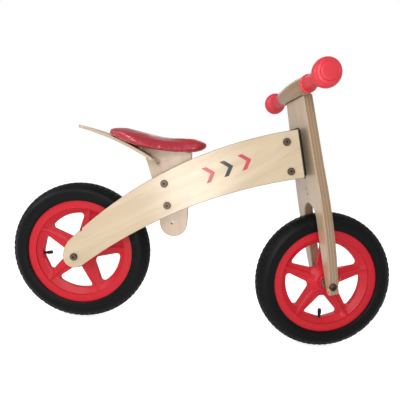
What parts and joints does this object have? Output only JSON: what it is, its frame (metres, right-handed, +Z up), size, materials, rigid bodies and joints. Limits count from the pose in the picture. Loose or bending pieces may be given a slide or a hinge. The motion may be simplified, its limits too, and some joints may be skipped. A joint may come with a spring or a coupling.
{
  "type": "balance bike",
  "caption": "Child's wooden balance bike: plywood side panels, hinged plank fork with handlebar, padded saddle on a seat board with a rear carry handle, air tyres on spoked wheels.",
  "frame": {"origin": "on the ground, under the middle of the bounding box of the whole bike, with both tyres on the ground", "axes": "+X forward, +Y to the rider's left, +Z up; the front end is stored turned 5.5 degrees to the left"},
  "size_m": [0.8443, 0.3154, 0.5766],
  "materials": {
    "zinc_steel": "satin",
    "bronze_steel": "satin",
    "birch_wood": "satin",
    "black_steel": "satin",
    "red_plastic": "satin",
    "tyre_rubber": "matte",
    "black_rubber": "matte",
    "grip_rubber": "satin",
    "saddle_vinyl": "gloss",
    "printed_film": "matte"
  },
  "bodies": {
    "frame": {"left_side_panel": "birch_wood", "right_side_panel": "birch_wood", "head_block": "birch_wood", "head_plate": "black_steel", "head_plate_screws": "zinc_steel", "head_bolts": "bronze_steel", "head_bolt_nuts": "bronze_steel", "steering_pin": "zinc_steel", "seat_board": "birch_wood", "seat_bolts": "bronze_steel", "seat_bolt_nuts": "bronze_steel", "seat_spacers": "zinc_steel", "carry_handle": "birch_wood", "saddle_base": "birch_wood", "saddle_pad": "saddle_vinyl", "saddle_staples": "zinc_steel", "saddle_screws": "zinc_steel", "rear_axle_bolt": "bronze_steel", "rear_axle_nut": "bronze_steel", "rear_axle_spacers": "zinc_steel", "rear_inner_races": "zinc_steel", "side_chevrons": "printed_film"},
    "rear_wheel": {"rear_rim": "red_plastic", "rear_tyre": "tyre_rubber", "rear_inner_tube": "black_rubber", "rear_valve_stem": "black_rubber", "rear_valve_cap": "black_rubber", "rear_outer_races": "zinc_steel"},
    "rear_cages": {"rear_bearing_balls": "zinc_steel"},
    "front_end": {"fork_plank": "birch_wood", "fork_leaf": "black_steel", "fork_leaf_screws": "zinc_steel", "fork_cross_screws": "zinc_steel", "front_axle_bolt": "bronze_steel", "front_axle_nut": "bronze_steel", "front_axle_spacers": "zinc_steel", "front_inner_races": "zinc_steel", "handlebar": "birch_wood", "handlebar_screws": "zinc_steel", "left_grip": "grip_rubber", "right_grip": "grip_rubber"},
    "front_wheel": {"front_rim": "red_plastic", "front_tyre": "tyre_rubber", "front_inner_tube": "black_rubber", "front_valve_stem": "black_rubber", "front_valve_cap": "black_rubber", "front_outer_races": "zinc_steel"},
    "front_cages": {"front_bearing_balls": "zinc_steel"}
  },
  "joints": [
    {"name": "steering", "type": "hinge", "parent": "frame", "child": "front_end", "pos_m": [0.17377, -0.0012, 0.42206], "axis": [-0.2924, 0, 0.9563], "range_deg": [-18.5, 7.5]},
    {"name": "rear_wheel_spin", "type": "hinge", "parent": "frame", "child": "rear_wheel", "pos_m": [-0.2697, -0.0012, 0.1525], "axis": [0, 1, 0], "continuous": true},
    {"name": "rear_cage_spin", "type": "hinge", "parent": "frame", "child": "rear_cages", "pos_m": [-0.2697, -0.0012, 0.1525], "axis": [0, 1, 0], "continuous": true},
    {"name": "front_wheel_spin", "type": "hinge", "parent": "front_end", "child": "front_wheel", "pos_m": [0.27024, 0.00009, 0.15248], "axis": [-0.0917, 0.9954, -0.028], "continuous": true},
    {"name": "front_cage_spin", "type": "hinge", "parent": "front_end", "child": "front_cages", "pos_m": [0.27024, 0.00009, 0.15248], "axis": [-0.0917, 0.9954, -0.028], "continuous": true}
  ],
  "couplings": [
    {"joint": "rear_cage_spin", "follows": "rear_wheel_spin", "ratio": 0.63},
    {"joint": "front_cage_spin", "follows": "front_wheel_spin", "ratio": 0.63}
  ]
}
